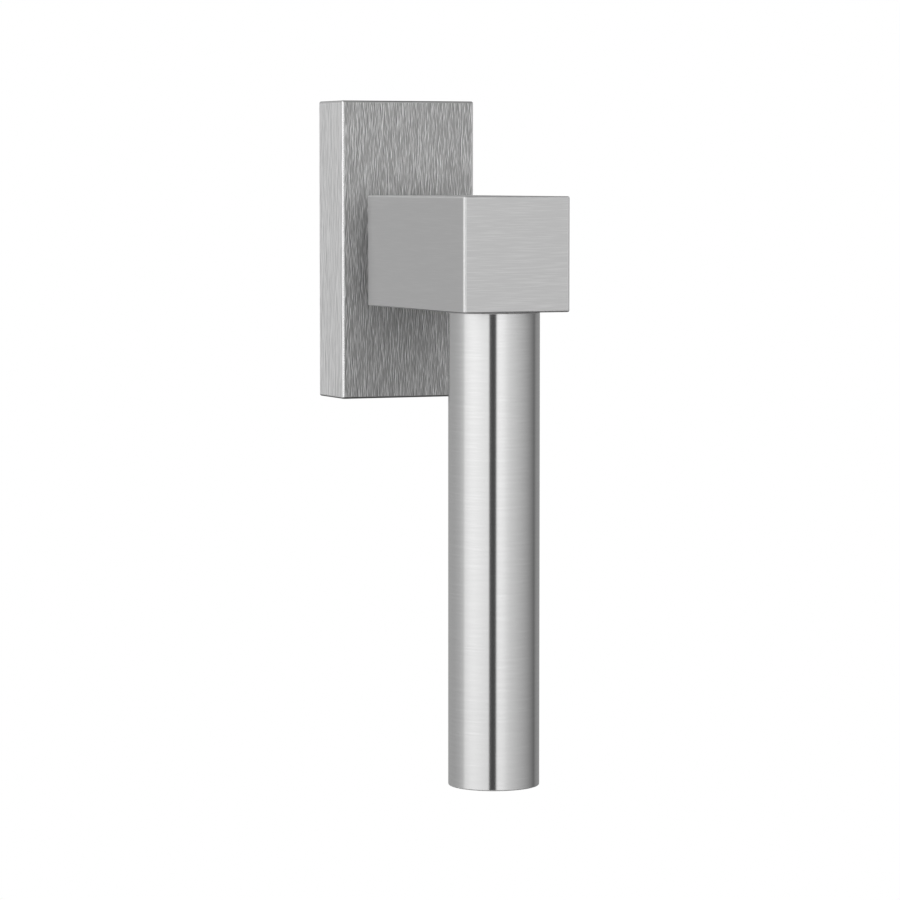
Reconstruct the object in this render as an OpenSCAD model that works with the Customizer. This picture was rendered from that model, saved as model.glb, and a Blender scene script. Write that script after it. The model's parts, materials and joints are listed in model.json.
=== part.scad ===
// Tilt and turn window handle: a rose on the window sash, a square block arm and a round lever.
// The origin is on the spindle axis, in the plane of the window sash.
// +X points right as seen from the room, +Y into the sash and +Z up.
// Every height is measured from the sash towards the room, so a height of 10 is at Y = -10.
// The lever hangs down: the closed position.

/* [Block arm] */
// Width and height of the square block arm
block_side = 25; // [20.5:0.5:32]
// Length of the block arm along the spindle axis
block_length = 55.5; // [45:0.5:75]
// Bevel on the edges of the block arm
block_bevel = 0.5; // [0.3:0.1:0.8]
// Gap between the cover and the block arm, where the neck shows
neck_gap = 6; // [5:0.5:12]

/* [Lever] */
// Outer diameter of the lever tube
lever_diameter = 20; // [16.5:0.5:24]
// Length of the lever below the block arm
lever_length = 104; // [80:1:150]
// Wall thickness of the lever tube
lever_wall = 2; // [1.5:0.25:2.5]
// Length of the threaded insert in the top of the lever
insert_length = 18; // [14:1:24]
// Thickness of the disc in the bottom of the lever
end_disc_thickness = 4; // [2:0.5:6]
// Diameter of the stud that joins the lever to the block arm
stud_diameter = 8; // [6:1:8]
// How far the stud screws into the block arm
stud_in_block = 12; // [9:1:14]
// How far the stud screws into the lever's insert
stud_in_insert = 14; // [10:1:16]

/* [Cover] */
// Width of the cover
cover_width = 32.5; // [31.5:0.5:45]
// Height of the cover
cover_height = 68; // [64:1:90]
// Depth of the cover, from the sash to its front face
cover_depth = 14.5; // [13:0.5:20]
// Wall thickness of the cover
cover_wall = 1.5; // [1:0.1:1.8]
// Bevel on the edges of the cover
cover_bevel = 0.4; // [0.2:0.1:0.6]
// Wall of the plastic ring that lines the cover's neck hole
guide_wall = 1.2; // [1:0.1:2]
// Width of the guide ring's lip behind the cover
guide_lip = 1; // [0.6:0.1:1.4]

/* [Base] */
// Thickness of the base's flange
flange_thickness = 5.3; // [5:0.1:5.5]
// Distance between the two fixing screws
screw_spacing = 43; // [42:0.5:50]
// Diameter of the fixing screws
screw_diameter = 5; // [4:0.5:5]
// How far the screws' plain shank is relieved all round, below the thread's diameter
shank_relief = 0.25; // [0.1:0.05:0.5]
// Head diameter of the fixing screws
screw_head = 9.2; // [8:0.2:9.6]
// How far the fixing screws reach behind the sash plane
screw_reach = 30; // [20:1:60]
// Diameter of the pips that locate the base in the sash
pip_diameter = 10; // [9:0.5:12]
// Height of the locating pips
pip_height = 3; // [1:0.5:4]
// Thickness of the plate that closes the back of the base
rear_plate_thickness = 1; // [0.8:0.1:1.2]
// Width of the rear plate
rear_plate_width = 26; // [25:0.5:26.5]
// Height of the rear plate
rear_plate_height = 40; // [39:1:44]
// Diameter of the rivets in the rear plate
rivet_diameter = 2; // [1.5:0.25:2.5]
// Length of the rivets
rivet_length = 3.5; // [3:0.25:4]

/* [Cover clips] */
// Width of each cover clip
clip_width = 9; // [6:0.5:12]
// Thickness of the clip's strip
clip_strip = 0.4; // [0.3:0.05:0.5]
// Height of the clip's round bump above the sash
clip_height = 2.6; // [2.4:0.1:3]
// Outer radius of the clip's round bump
clip_bump = 1.3; // [1.1:0.1:1.5]
// Length of the clip's foot in the base
clip_foot = 2; // [1.5:0.25:3]

/* [Neck and bearing] */
// Diameter of the journal that turns in the bush
journal_diameter = 14; // [13:0.5:17]
// Width of the shoulder between the journal and the neck's collar
collar_shoulder = 1.5; // [1:0.25:3]
// Length of the spigot in the block arm
spigot_length = 20; // [16:1:24]
// Wall of the bearing bush
bush_wall = 2; // [1:0.25:2.5]
// Thickness of the bearing bush's flange
bush_flange = 1.2; // [0.8:0.1:1.6]
// Thickness of the wave washer
wave_washer_thickness = 0.5; // [0.3:0.1:0.6]
// Thickness of the thrust washer
thrust_washer_thickness = 1; // [0.8:0.1:1.2]
// Radial width of the thrust washer
thrust_washer_ring = 4; // [3:0.25:4.5]
// Thickness of the retaining ring
retaining_ring_thickness = 1.1; // [0.9:0.1:1.3]
// Radial width of the retaining ring
retaining_ring_width = 3; // [2:0.25:3]
// Depth of the retaining ring's groove
groove_depth = 0.55; // [0.4:0.05:0.7]

/* [Index mechanism] */
// Side of the square index cam
cam_side = 18; // [16:0.5:18.5]
// Thickness of the index cam
cam_thickness = 3; // [2.5:0.25:3]
// Diameter that the cam's corners are turned down to
cam_corner_diameter = 22.4; // [20:0.2:22.6]
// Distance across the two flats that the cam sits on
cam_seat_flats = 10.4; // [9.8:0.2:10.8]
// Depth of the step from the journal down to the cam seat
cam_seat_step = 0.5; // [0.4:0.1:0.8]
// Thickness of the leaf springs
leaf_thickness = 0.6; // [0.4:0.05:0.7]
// Length of the leaf springs
leaf_length = 29; // [26:0.5:29.5]

/* [Spindle] */
// Side of the square spindle
spindle_side = 7; // [6:0.5:7]
// How far the spindle reaches into the block arm
spindle_in_block = 7.5; // [7:0.25:9]
// How far the spindle reaches behind the sash plane
spindle_reach = 30; // [20:1:60]
// Diameter of the pin across the spindle
pin_diameter = 3; // [2:0.5:3]
// Distance from the block arm's rear face to the pin
pin_in_block = 4.5; // [4:0.25:5]
// Diameter of the screw that holds the block arm on its spigot
grub_diameter = 5; // [4:0.5:6]
// Distance from the block arm's rear face to that screw
grub_in_block = 12; // [11.5:0.5:13]

/* [Fits] */
// Radial clearance of the journal in its bush and of the tail in the rear plate
running_clearance = 0.05; // [0.03:0.01:0.08]
// Radial clearance of the neck's collar in the guide ring
sliding_clearance = 0.1; // [0.05:0.01:0.1]
// Clearance between end faces that turn on each other
end_clearance = 0.05; // [0.03:0.01:0.1]
// Clearance of pieces that are seated or pressed together
seat_clearance = 0.02; // [0.01:0.01:0.03]
// Clearance on each side of the spindle in its square socket
spindle_clearance = 0.05; // [0.03:0.01:0.1]
// Radial clearance of the fixing screws in their holes
screw_clearance = 0.15; // [0.1:0.05:0.3]
// Clearance between the base and the inside of the cover
cover_clearance = 0.5; // [0.4:0.05:0.8]
// Clearance between the base's drum and the guide ring's lip
lip_clearance = 0.3; // [0.2:0.05:0.5]
// Room for the leaf springs to bow outwards
bow_room = 0.6; // [0.4:0.1:0.7]

/* [Hidden] */
$fn = 96;

steel_colour = [0.74, 0.74, 0.73];
zinc_colour = [0.62, 0.64, 0.66];
plated_colour = [0.70, 0.72, 0.74];
spring_colour = [0.42, 0.43, 0.45];
plastic_colour = [0.16, 0.16, 0.17];

// How far a cut runs past the face that it opens
cut = 1;
// Room past the end of a bar in its blind hole
end_room = 0.3;

// Cover
cover_inside_width = cover_width - 2 * cover_wall;
cover_inside_height = cover_height - 2 * cover_wall;

// Stack along the spindle axis, from the sash towards the room
cam_rear = rear_plate_thickness + 2 * end_clearance;
cam_front = cam_rear + cam_thickness;
ring_front = cam_front + retaining_ring_thickness;
washer_rear = ring_front + end_clearance;
washer_front = washer_rear + thrust_washer_thickness;
drum_top = cover_depth - cover_wall - guide_lip - lip_clearance;
wave_rear = drum_top + end_clearance;
collar_rear = wave_rear + wave_washer_thickness;
block_rear = cover_depth + neck_gap;
block_front = block_rear + block_length;
spigot_front = block_rear + spigot_length;
lever_height = block_front - block_side / 2;
leaf_front = cam_front - 2 * end_clearance;
pocket_front = cam_front + 2 * end_clearance;
tail_rear = 0.2;

// Base
base_width = cover_inside_width - 2 * cover_clearance;
base_height = cover_inside_height - 2 * cover_clearance;
base_bevel = 1;
drum_inset = 0.05;
drum_diameter = base_width - 2 * drum_inset;
pip_land = 0.6;

// Fixing screws, with countersunk heads and a cross recess, and the rear plate's rivets
screw_hole = screw_diameter + 2 * screw_clearance;
screw_shank = screw_diameter - 2 * shank_relief;
head_clearance = 0.1;
head_height = (screw_head - screw_shank) / 2;
sink_depth = screw_head / 2 + head_clearance - screw_hole / 2;
drive_length = screw_head / 2;
drive_width = 1;
drive_depth = 1.6;
rivet_inset = 2.2;
rivet_head_height = 0.6;

// Cover clips: each strip stands up from its foot, and its bump rests in a groove of the cover
clip_bite = 0.2;
clip_groove_depth = 0.55;
clip_groove_room = 0.1;
clip_side_room = 0.4;
clip_up = cover_inside_height / 2 + clip_bite - clip_strip - clip_bump;

// Neck and bearing
collar_diameter = journal_diameter + 2 * collar_shoulder;
bush_diameter = journal_diameter + 2 * (running_clearance + bush_wall);
bush_flange_rim = 1.8;
bush_flange_diameter = bush_diameter + 2 * bush_flange_rim;
washer_diameter = journal_diameter + 2 * thrust_washer_ring;
groove_diameter = journal_diameter - 2 * groove_depth;
ring_diameter = groove_diameter + 2 * retaining_ring_width;
ring_opening = 4;
ring_eye = 1.2;
wave_inset = 0.1;
guide_inside = collar_diameter + 2 * sliding_clearance;
guide_outside = guide_inside + 2 * guide_wall;
guide_lip_diameter = guide_outside + 2 * guide_lip;

// Index mechanism
cam_seat_diameter = journal_diameter - 2 * cam_seat_step;
tail_step = 0.5;
tail_diameter = cam_seat_diameter - 2 * tail_step;
leaf_inner = cam_side / 2 + end_clearance;
leaf_outer = leaf_inner + leaf_thickness;
leaf_slot = 0.1;
leaf_seat = 2;
pocket_diameter = cam_corner_diameter + 2 * (leaf_thickness + bow_room);
pocket_width = 2 * (leaf_outer + 2 * bow_room);
pocket_height = leaf_length - 2 * leaf_seat;

// Spindle and cross screws
socket_side = spindle_side + 2 * spindle_clearance;
spindle_front = block_rear + spindle_in_block;
spindle_bevel = 0.5;
pin_height = block_rear + pin_in_block;
pin_inset = 0.3;
grub_height = block_rear + grub_in_block;
grub_tip_step = 0.7;
grub_tip_diameter = grub_diameter - 2 * grub_tip_step;
grub_tip_length = 1.4;
grub_tip_top = grub_tip_length - journal_diameter / 2;
grub_shoulder = 0.1;
grub_recess = 0.5;
grub_key_depth = 2;

// Lever
insert_diameter = lever_diameter - 2 * lever_wall - 2 * seat_clearance;
lever_bevel = 0.4;
lever_top = -block_side / 2;
lever_bottom = lever_top - lever_length;

// Draws its children, laid out as seen from the room, from one height above the sash to another
module slab(rear, front)
  translate([0, -rear, 0])
    rotate([90, 0, 0])
      linear_extrude(front - rear)
        children();

// A round bar on the spindle axis, from one height above the sash to another
module bar(rear, front, diameter)
  translate([0, -rear, 0])
    rotate([90, 0, 0])
      cylinder(h = front - rear, d = diameter);

// A cone on the spindle axis with the given slope, widening towards the room
module cone(rear, front, rear_diameter, slope = 1)
  translate([0, -rear, 0])
    rotate([90, 0, 0])
      cylinder(h = front - rear, d1 = rear_diameter, d2 = rear_diameter + 2 * slope * (front - rear));

// A bar with a bore, both on the spindle axis
module ring(rear, front, outside, inside)
  difference() {
    bar(rear, front, outside);
    bar(rear - cut, front + cut, inside);
  }

// A vertical bar at a height above the sash
module post(height, bottom, top, diameter)
  translate([0, -height, bottom])
    cylinder(h = top - bottom, d = diameter);

// Repeats its children at the two fixing screws
module at_screws()
  for (side = [-1, 1])
    translate([0, 0, side * screw_spacing / 2])
      children();

// Repeats its children at the rear plate's four rivets
module at_rivets()
  for (side_x = [-1, 1], side_z = [-1, 1])
    translate([
      side_x * (rear_plate_width / 2 - rivet_inset),
      0,
      side_z * (rear_plate_height / 2 - rivet_inset),
    ])
      children();

// A rectangle with bevelled corners, centred
module bevelled_rectangle(width, height, bevel) {
  x = width / 2;
  y = height / 2;
  polygon([
    [x - bevel, -y], [x, -y + bevel], [x, y - bevel], [x - bevel, y],
    [-x + bevel, y], [-x, y - bevel], [-x, -y + bevel], [-x + bevel, -y],
  ]);
}

// A block with all its edges bevelled, centred
module bevelled_block(width, depth, height, bevel)
  intersection() {
    linear_extrude(height, center = true)
      bevelled_rectangle(width, depth, bevel);
    rotate([90, 0, 0])
      linear_extrude(depth, center = true)
        bevelled_rectangle(width, height, bevel);
    rotate([0, 90, 0])
      linear_extrude(width, center = true)
        bevelled_rectangle(height, depth, bevel);
  }

// A circle with two flats, for the cam seat and the tail behind it
module flatted_circle(diameter, flats)
  intersection() {
    circle(d = diameter);
    square([flats, 2 * diameter], center = true);
  }

// Outline of the rear plate, which leaves a land around each pip
module rear_plate_outline(grow)
  difference() {
    bevelled_rectangle(rear_plate_width + 2 * grow, rear_plate_height + 2 * grow, base_bevel);
    for (side = [-1, 1])
      translate([0, side * screw_spacing / 2])
        circle(d = pip_diameter + 2 * (pip_land - grow));
  }

// Outline of the pocket for the cam and the leaf springs, with a slot for each leaf's ends
module pocket_outline() {
  circle(d = pocket_diameter);
  square([pocket_width, pocket_height], center = true);
  for (side = [-1, 1])
    translate([side * (leaf_inner + leaf_outer) / 2, 0])
      square([leaf_thickness + 2 * leaf_slot, leaf_length + 2 * leaf_slot], center = true);
}

// Profile of one cover clip, seen from the side: first the distance up, then the height
module clip_profile(strip_up) {
  strip_front = clip_height + clip_bump + clip_strip;
  foot_rear = clip_strip;
  difference() {
    union() {
      translate([strip_up, foot_rear])
        square([clip_strip, strip_front - foot_rear]);
      translate([strip_up - clip_foot, foot_rear])
        square([clip_foot + clip_strip, clip_strip]);
      intersection() {
        translate([strip_up + clip_strip, clip_height])
          circle(r = clip_bump);
        translate([strip_up, 0])
          square([2 * clip_bump, strip_front]);
      }
    }
    translate([strip_up + clip_strip, clip_height])
      circle(r = clip_bump - clip_strip);
  }
}

// Draws a side profile across the given width: its X becomes up and its Y becomes the height
module across(width)
  rotate([0, -90, 0])
    mirror([0, 1, 0])
      linear_extrude(width, center = true)
        children();

module base_plate()
  color(zinc_colour)
    difference() {
      union() {
        slab(0, flange_thickness)
          bevelled_rectangle(base_width, base_height, base_bevel);
        bar(0, drum_top, drum_diameter);
        at_screws()
          bar(-pip_height, flange_thickness / 2, pip_diameter);
      }
      slab(-cut, rear_plate_thickness)
        rear_plate_outline(seat_clearance);
      slab(0, pocket_front)
        pocket_outline();
      bar(rear_plate_thickness, washer_front, washer_diameter + 2 * seat_clearance);
      bar(rear_plate_thickness, drum_top + cut, bush_diameter + 2 * seat_clearance);
      bar(drum_top - bush_flange, drum_top + cut, bush_flange_diameter + 2 * seat_clearance);
      at_screws() {
        bar(-pip_height - cut, flange_thickness + cut, screw_hole);
        cone(flange_thickness - sink_depth, flange_thickness + cut, screw_hole);
      }
      at_rivets()
        bar(0, rivet_length + seat_clearance, rivet_diameter + 2 * seat_clearance);
      for (side = [0, 1])
        mirror([0, 0, side])
          clip_notch();
    }

// Notch in the base's end that holds one cover clip and its foot
module clip_notch() {
  notch_width = clip_width + clip_side_room;
  across(notch_width)
    translate([clip_up - seat_clearance, -cut])
      square([base_height, flange_thickness + 2 * cut]);
  across(notch_width)
    translate([clip_up - clip_foot - clip_groove_room, clip_strip - seat_clearance])
      square([clip_foot + cut, clip_strip + 2 * seat_clearance]);
}

module fixing_screws()
  color(plated_colour)
    at_screws()
      difference() {
        union() {
          bar(-screw_reach, -pip_height, screw_diameter);
          bar(-pip_height, flange_thickness - head_height, screw_shank);
          cone(flange_thickness - head_height, flange_thickness, screw_shank);
        }
        slab(flange_thickness - drive_depth, flange_thickness + cut) {
          square([drive_length, drive_width], center = true);
          square([drive_width, drive_length], center = true);
        }
      }

module bearing_bush()
  color(plastic_colour)
    difference() {
      union() {
        bar(washer_front, drum_top, bush_diameter);
        bar(drum_top - bush_flange, drum_top, bush_flange_diameter);
      }
      bar(washer_front - cut, drum_top + cut, journal_diameter + 2 * running_clearance);
    }

module rear_plate()
  color(plated_colour)
    difference() {
      slab(0, rear_plate_thickness)
        rear_plate_outline(0);
      bar(-cut, rear_plate_thickness + cut, tail_diameter + 2 * running_clearance);
      at_rivets() {
        bar(-cut, rear_plate_thickness + cut, rivet_diameter + 2 * seat_clearance);
        mirror([0, 1, 0])
          cone(-rivet_head_height, cut, rivet_diameter + 2 * seat_clearance);
      }
    }

module plate_rivets()
  color(plated_colour)
    at_rivets() {
      bar(0, rivet_length, rivet_diameter);
      mirror([0, 1, 0])
        cone(-rivet_head_height, 0, rivet_diameter);
    }

module detent_springs()
  color(spring_colour)
    for (side = [-1, 1])
      slab(cam_rear, leaf_front)
        translate([side * (leaf_inner + leaf_outer) / 2, 0])
          square([leaf_thickness, leaf_length], center = true);

module cover_clips()
  color(spring_colour)
    for (side = [0, 1])
      mirror([0, 0, side])
        across(clip_width)
          clip_profile(clip_up);

module thrust_washer()
  color(plated_colour)
    ring(washer_rear, washer_front, washer_diameter, journal_diameter + 4 * running_clearance);

module rose_cover()
  color(steel_colour)
    difference() {
      bevelled_block(cover_width, 2 * cover_depth, cover_height, cover_bevel);
      translate([-cover_width, 0, -cover_height])
        cube([2 * cover_width, 2 * cover_depth, 2 * cover_height]);
      slab(-cut, cover_depth - cover_wall)
        square([cover_inside_width, cover_inside_height], center = true);
      bar(0, cover_depth + cut, guide_outside + 2 * seat_clearance);
      for (side = [0, 1])
        mirror([0, 0, side])
          across(clip_width + 2 * clip_side_room)
            translate([cover_inside_height / 2 - cut, clip_height - clip_bump - clip_groove_room])
              square([cut + clip_groove_depth, 2 * (clip_bump + clip_groove_room)]);
    }

module cover_guide_ring()
  color(plastic_colour)
    difference() {
      union() {
        bar(cover_depth - cover_wall - guide_lip, cover_depth - cover_wall, guide_lip_diameter);
        bar(cover_depth - cover_wall, cover_depth, guide_outside);
      }
      bar(0, cover_depth + cut, guide_inside);
    }

module neck_block()
  color(steel_colour)
    difference() {
      translate([0, -(block_rear + block_front) / 2, 0])
        bevelled_block(block_side, block_length, block_side, block_bevel);
      bar(block_rear - cut, spigot_front + end_room, journal_diameter + 2 * seat_clearance);
      post(grub_height, -block_side, 0, grub_diameter + 2 * seat_clearance);
      post(lever_height, -block_side, lever_top + stud_in_block + end_room,
        stud_diameter + 2 * seat_clearance);
    }

module neck_shank()
  color(steel_colour)
    difference() {
      union() {
        slab(tail_rear, cam_rear)
          flatted_circle(tail_diameter, cam_seat_flats);
        slab(cam_rear, cam_front)
          flatted_circle(cam_seat_diameter, cam_seat_flats);
        bar(cam_front, ring_front, groove_diameter);
        bar(ring_front, collar_rear, journal_diameter);
        bar(collar_rear, block_rear, collar_diameter);
        bar(block_rear, spigot_front, journal_diameter);
      }
      slab(tail_rear - cut, spindle_front + end_room)
        square(socket_side, center = true);
      translate([0, -pin_height, 0])
        rotate([0, 90, 0])
          cylinder(h = 2 * collar_diameter, d = pin_diameter + 2 * seat_clearance, center = true);
      post(grub_height, -collar_diameter, grub_tip_top + end_room,
        grub_tip_diameter + 2 * seat_clearance);
    }

module block_grub_screw() {
  body_top = -journal_diameter / 2 - grub_shoulder;
  bottom = grub_recess - block_side / 2;
  color(spring_colour)
    difference() {
      union() {
        post(grub_height, bottom, body_top, grub_diameter);
        post(grub_height, body_top, grub_tip_top, grub_tip_diameter);
      }
      translate([0, -grub_height, bottom - cut])
        cylinder(h = grub_key_depth + cut, d = grub_diameter / 2, $fn = 6);
    }
}

module wave_washer()
  color(spring_colour)
    ring(wave_rear, collar_rear, collar_diameter - 2 * wave_inset,
      journal_diameter + 2 * running_clearance);

module retaining_ring()
  color(spring_colour)
    difference() {
      ring(cam_front, ring_front, ring_diameter, groove_diameter + 2 * seat_clearance);
      slab(cam_front - cut, ring_front + cut)
        translate([0, -ring_diameter / 2])
          square([ring_opening, ring_diameter], center = true);
      for (side = [-1, 1])
        translate([side * ring_opening, 0, -(groove_diameter + ring_diameter) / 4])
          bar(cam_front - cut, ring_front + cut, ring_eye);
    }

module index_cam()
  color(plated_colour)
    slab(cam_rear, cam_front)
      difference() {
        intersection() {
          square(cam_side, center = true);
          circle(d = cam_corner_diameter);
        }
        flatted_circle(cam_seat_diameter + 2 * seat_clearance, cam_seat_flats + 2 * seat_clearance);
      }

module square_spindle()
  color(plated_colour)
    difference() {
      translate([0, (spindle_reach - spindle_front) / 2, 0])
        bevelled_block(spindle_side, spindle_reach + spindle_front, spindle_side, spindle_bevel);
      translate([0, -pin_height, 0])
        rotate([0, 90, 0])
          cylinder(h = 2 * spindle_side, d = pin_diameter + 2 * seat_clearance, center = true);
    }

module spindle_pin()
  color(spring_colour)
    translate([0, -pin_height, 0])
      rotate([0, 90, 0])
        cylinder(h = journal_diameter - 2 * pin_inset, d = pin_diameter, center = true);

module grip_tube()
  color(steel_colour)
    translate([0, -lever_height, 0])
      difference() {
        union() {
          translate([0, 0, lever_bottom])
            cylinder(h = lever_bevel, d1 = lever_diameter - 2 * lever_bevel, d2 = lever_diameter);
          translate([0, 0, lever_bottom + lever_bevel])
            cylinder(h = lever_length - lever_bevel, d = lever_diameter);
        }
        translate([0, 0, lever_bottom - cut])
          cylinder(h = lever_length + 2 * cut, d = lever_diameter - 2 * lever_wall);
      }

module grip_insert()
  color(plated_colour)
    difference() {
      post(lever_height, lever_top - insert_length, lever_top, insert_diameter);
      post(lever_height, lever_top - insert_length - cut, lever_top + cut,
        stud_diameter + 2 * seat_clearance);
    }

module grip_stud()
  color(plated_colour)
    post(lever_height, lever_top - stud_in_insert, lever_top + stud_in_block, stud_diameter);

module grip_end_disc()
  color(steel_colour)
    post(lever_height, lever_bottom, lever_bottom + end_disc_thickness, insert_diameter);

base_plate();
fixing_screws();
bearing_bush();
rear_plate();
plate_rivets();
detent_springs();
cover_clips();
thrust_washer();
rose_cover();
cover_guide_ring();
neck_block();
neck_shank();
block_grub_screw();
wave_washer();
retaining_ring();
index_cam();
square_spindle();
spindle_pin();
grip_tube();
grip_insert();
grip_stud();
grip_end_disc();
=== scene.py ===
"""Looks of the tilt and turn window handle: satin stainless steel in a white studio.

Everything is in metres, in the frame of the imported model: +X right as seen from the room,
+Y into the window sash, +Z up, and the origin on the spindle axis in the plane of the sash.
"""

import json
from math import atan2, cos, hypot, pi, radians, sin, tan, tau

import bmesh
import bpy
from mathutils import Matrix, Vector


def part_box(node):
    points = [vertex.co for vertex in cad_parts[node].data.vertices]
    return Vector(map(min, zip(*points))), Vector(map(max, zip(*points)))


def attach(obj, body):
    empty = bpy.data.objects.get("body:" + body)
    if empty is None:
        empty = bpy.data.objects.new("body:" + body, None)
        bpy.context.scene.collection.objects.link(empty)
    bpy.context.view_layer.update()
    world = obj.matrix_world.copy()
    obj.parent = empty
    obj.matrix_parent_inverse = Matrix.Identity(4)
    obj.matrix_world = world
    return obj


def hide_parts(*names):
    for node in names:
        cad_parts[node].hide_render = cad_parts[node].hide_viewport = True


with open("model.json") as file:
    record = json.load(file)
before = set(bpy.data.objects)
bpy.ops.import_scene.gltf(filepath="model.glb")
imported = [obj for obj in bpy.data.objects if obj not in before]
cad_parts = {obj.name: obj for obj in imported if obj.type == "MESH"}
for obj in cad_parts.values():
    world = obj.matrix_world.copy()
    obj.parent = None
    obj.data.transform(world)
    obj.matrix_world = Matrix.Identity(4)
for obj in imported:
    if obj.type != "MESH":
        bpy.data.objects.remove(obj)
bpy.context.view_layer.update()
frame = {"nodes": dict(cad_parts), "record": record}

SCENE = bpy.context.scene
MM = 0.001

# Places taken from the frame
COVER_LOW, COVER_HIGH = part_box("rose_cover")
BLOCK_LOW, BLOCK_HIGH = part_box("neck_block")
LEVER_LOW, LEVER_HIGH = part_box("grip_tube")
DISC_LOW, DISC_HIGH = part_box("grip_end_disc")
RING_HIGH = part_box("cover_guide_ring")[1]
SHANK_LOW, SHANK_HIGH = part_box("neck_shank")
GRUB_LOW, GRUB_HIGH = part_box("block_grub_screw")
STUD_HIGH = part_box("grip_stud")[1]
SCREWS_LOW, SCREWS_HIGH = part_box("fixing_screws")
RIVETS_LOW, RIVETS_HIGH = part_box("plate_rivets")
CLIPS_LOW, CLIPS_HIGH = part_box("cover_clips")
WAVE_LOW, WAVE_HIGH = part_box("wave_washer")
LEVER_AXIS = Vector((0, (LEVER_LOW.y + LEVER_HIGH.y) / 2, 0))
LEVER_RADIUS = (LEVER_HIGH.x - LEVER_LOW.x) / 2
DISC_RADIUS = (DISC_HIGH.x - DISC_LOW.x) / 2
COLLAR_RADIUS = SHANK_HIGH.x

# Sizes of the seen shapes
SEAT_ROOM = 0.02 * MM
END_ROOM = 0.3 * MM
COVER_WALL = 1.5 * MM
GUIDE_LIP = 1 * MM
NECK_HOLE_RADIUS = RING_HIGH.x - GUIDE_LIP + SEAT_ROOM
COVER_ROUND = 0.45 * MM
BLOCK_ROUND = 0.4 * MM
BLOCK_CORNER_ROUND = 0.6 * MM
LEVER_ROUND = 0.25 * MM
TOP_ROUND = 0.35 * MM
FINE_ROUND = 0.15 * MM
ROUND_STEPS = 6
FINE_STEPS = 2
CLIP_BUMP_LINE = -2.6 * MM
CLIP_BUMP_RADIUS = 1.3 * MM
CLIP_GROOVE_DEPTH = 0.55 * MM
CLIP_GROOVE_ROOM = 0.1 * MM
CLIP_SIDE_ROOM = 0.4 * MM
COLLAR_SHOULDER = 1.5 * MM
SPIGOT_RADIUS = 7 * MM
STUD_RADIUS = 4 * MM

# Sizes of the fasteners and the wave washer
SCREW_SHANK = 4.5 * MM
SCREW_HEAD_ROUND = 0.05 * MM
SCREW_HEAD_FLAT = 0.3 * MM
SCREW_HEAD_STEPS = 3
THREAD_DIAMETER = 5 * MM
THREAD_PITCH = 0.8 * MM
THREAD_DEPTH = 0.43 * MM
THREAD_START = 3 * MM
THREAD_CREST = 0.15
THREAD_FLANK = 0.62
THREAD_SEGMENTS = 24
THREAD_STEPS = 12
TIP_STEP = 0.1 * MM
TIP_SLOPE = 0.8
RECESS_LENGTH = 4.6 * MM
RECESS_WIDTH = 1 * MM
RECESS_DEPTH = 1.6 * MM
RECESS_RISE = 0.5 * MM
RECESS_ROUND = 0.1 * MM
RECESS_TAPER_LONG = 0.55
RECESS_TAPER_SHORT = 0.8
RIVET_SHANK = 1 * MM
RIVET_HEAD = 1.6 * MM
RIVET_HEAD_HEIGHT = 0.6 * MM
RIVET_NECK_ROUND = 0.05 * MM
RIVET_TIP_ROUND = 0.3 * MM
RIVET_SEGMENTS = 48
RIVET_STEPS = 4
WAVES = 3
WAVE_STRIP = 0.3 * MM
WAVE_ROOM = 0.2 * MM
WAVE_ROUND = 0.05 * MM
WAVE_SEGMENTS = 96
LEVER_SEGMENTS = 192
TURNED_SEGMENTS = 128

# How meshes are closed, creased and sorted into faces and edges
SAME_POINT = 1e-6
SAME_RING_POINT = 1e-7
NO_LENGTH = 1e-8
CENTRE_REACH = 1 * MM
CREASE_ANGLE = radians(50)
EDGE_ANGLE = radians(30)
FLAT_ANGLE = radians(0.5)
LOOKS_STRAIGHT = 0.995
LOOKS_ALMOST_STRAIGHT = 0.99
LOOKS_UP = 0.8
LOOKS_ALONG = 0.7
LOOKS_HALF = 0.5
LOOKS_ASIDE = 0.1

# How brushed steel is drawn: the noise's levels for ground and scratch, and their tones
GROUND_LEVEL, SCRATCH_LEVEL = 0.48, 0.76
GROUND_TONE, SCRATCH_TONE = -0.40, 1.9
HAIRLINE_LIMIT = 0.25 * MM
HAIRLINE_DETAIL = 1
STREAK_DETAIL = 2
STREAK_DETAIL_SHARE = 0.5
STREAK_BEND = 0.1
STRIP_SPREAD = 900
LAYER_SEED = 7.3
ACROSS_GRAIN = 0.25

# How a finish without grain is mottled
MOTTLE_LOW, MOTTLE_HIGH = 0.3, 0.7
MOTTLE_DETAIL = 5
SMOOTHER, ROUGHER = 0.85, 1.2


# ---------------------------------------------------------------- mesh helpers

def add_object(name, mesh):
    """Links a mesh into the scene as an object of the same name."""
    mesh.name = name
    piece = bpy.data.objects.new(name, mesh)
    SCENE.collection.objects.link(piece)
    return piece


def from_shape(name, shape):
    """Makes an object of a shape that is ready."""
    mesh = bpy.data.meshes.new(name)
    shape.to_mesh(mesh)
    shape.free()
    return add_object(name, mesh)


def settle(piece):
    """Replaces a piece's mesh with what its modifiers make of it, and drops the modifiers."""
    graph = bpy.context.evaluated_depsgraph_get()
    made = bpy.data.meshes.new_from_object(
        piece.evaluated_get(graph), preserve_all_data_layers=True, depsgraph=graph
    )
    piece.modifiers.clear()
    old = piece.data
    piece.data = made
    bpy.data.meshes.remove(old)
    made.name = piece.name
    return piece


def weigh_normals(piece):
    """Smooth shading that keeps flat faces flat beside their rounded edges, and creases sharp."""
    piece.data.shade_smooth()
    piece.data.set_sharp_from_angle(angle=CREASE_ANGLE)
    weighted = piece.modifiers.new("weighted", "WEIGHTED_NORMAL")
    weighted.weight = 100
    weighted.keep_sharp = True
    return settle(piece)


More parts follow.
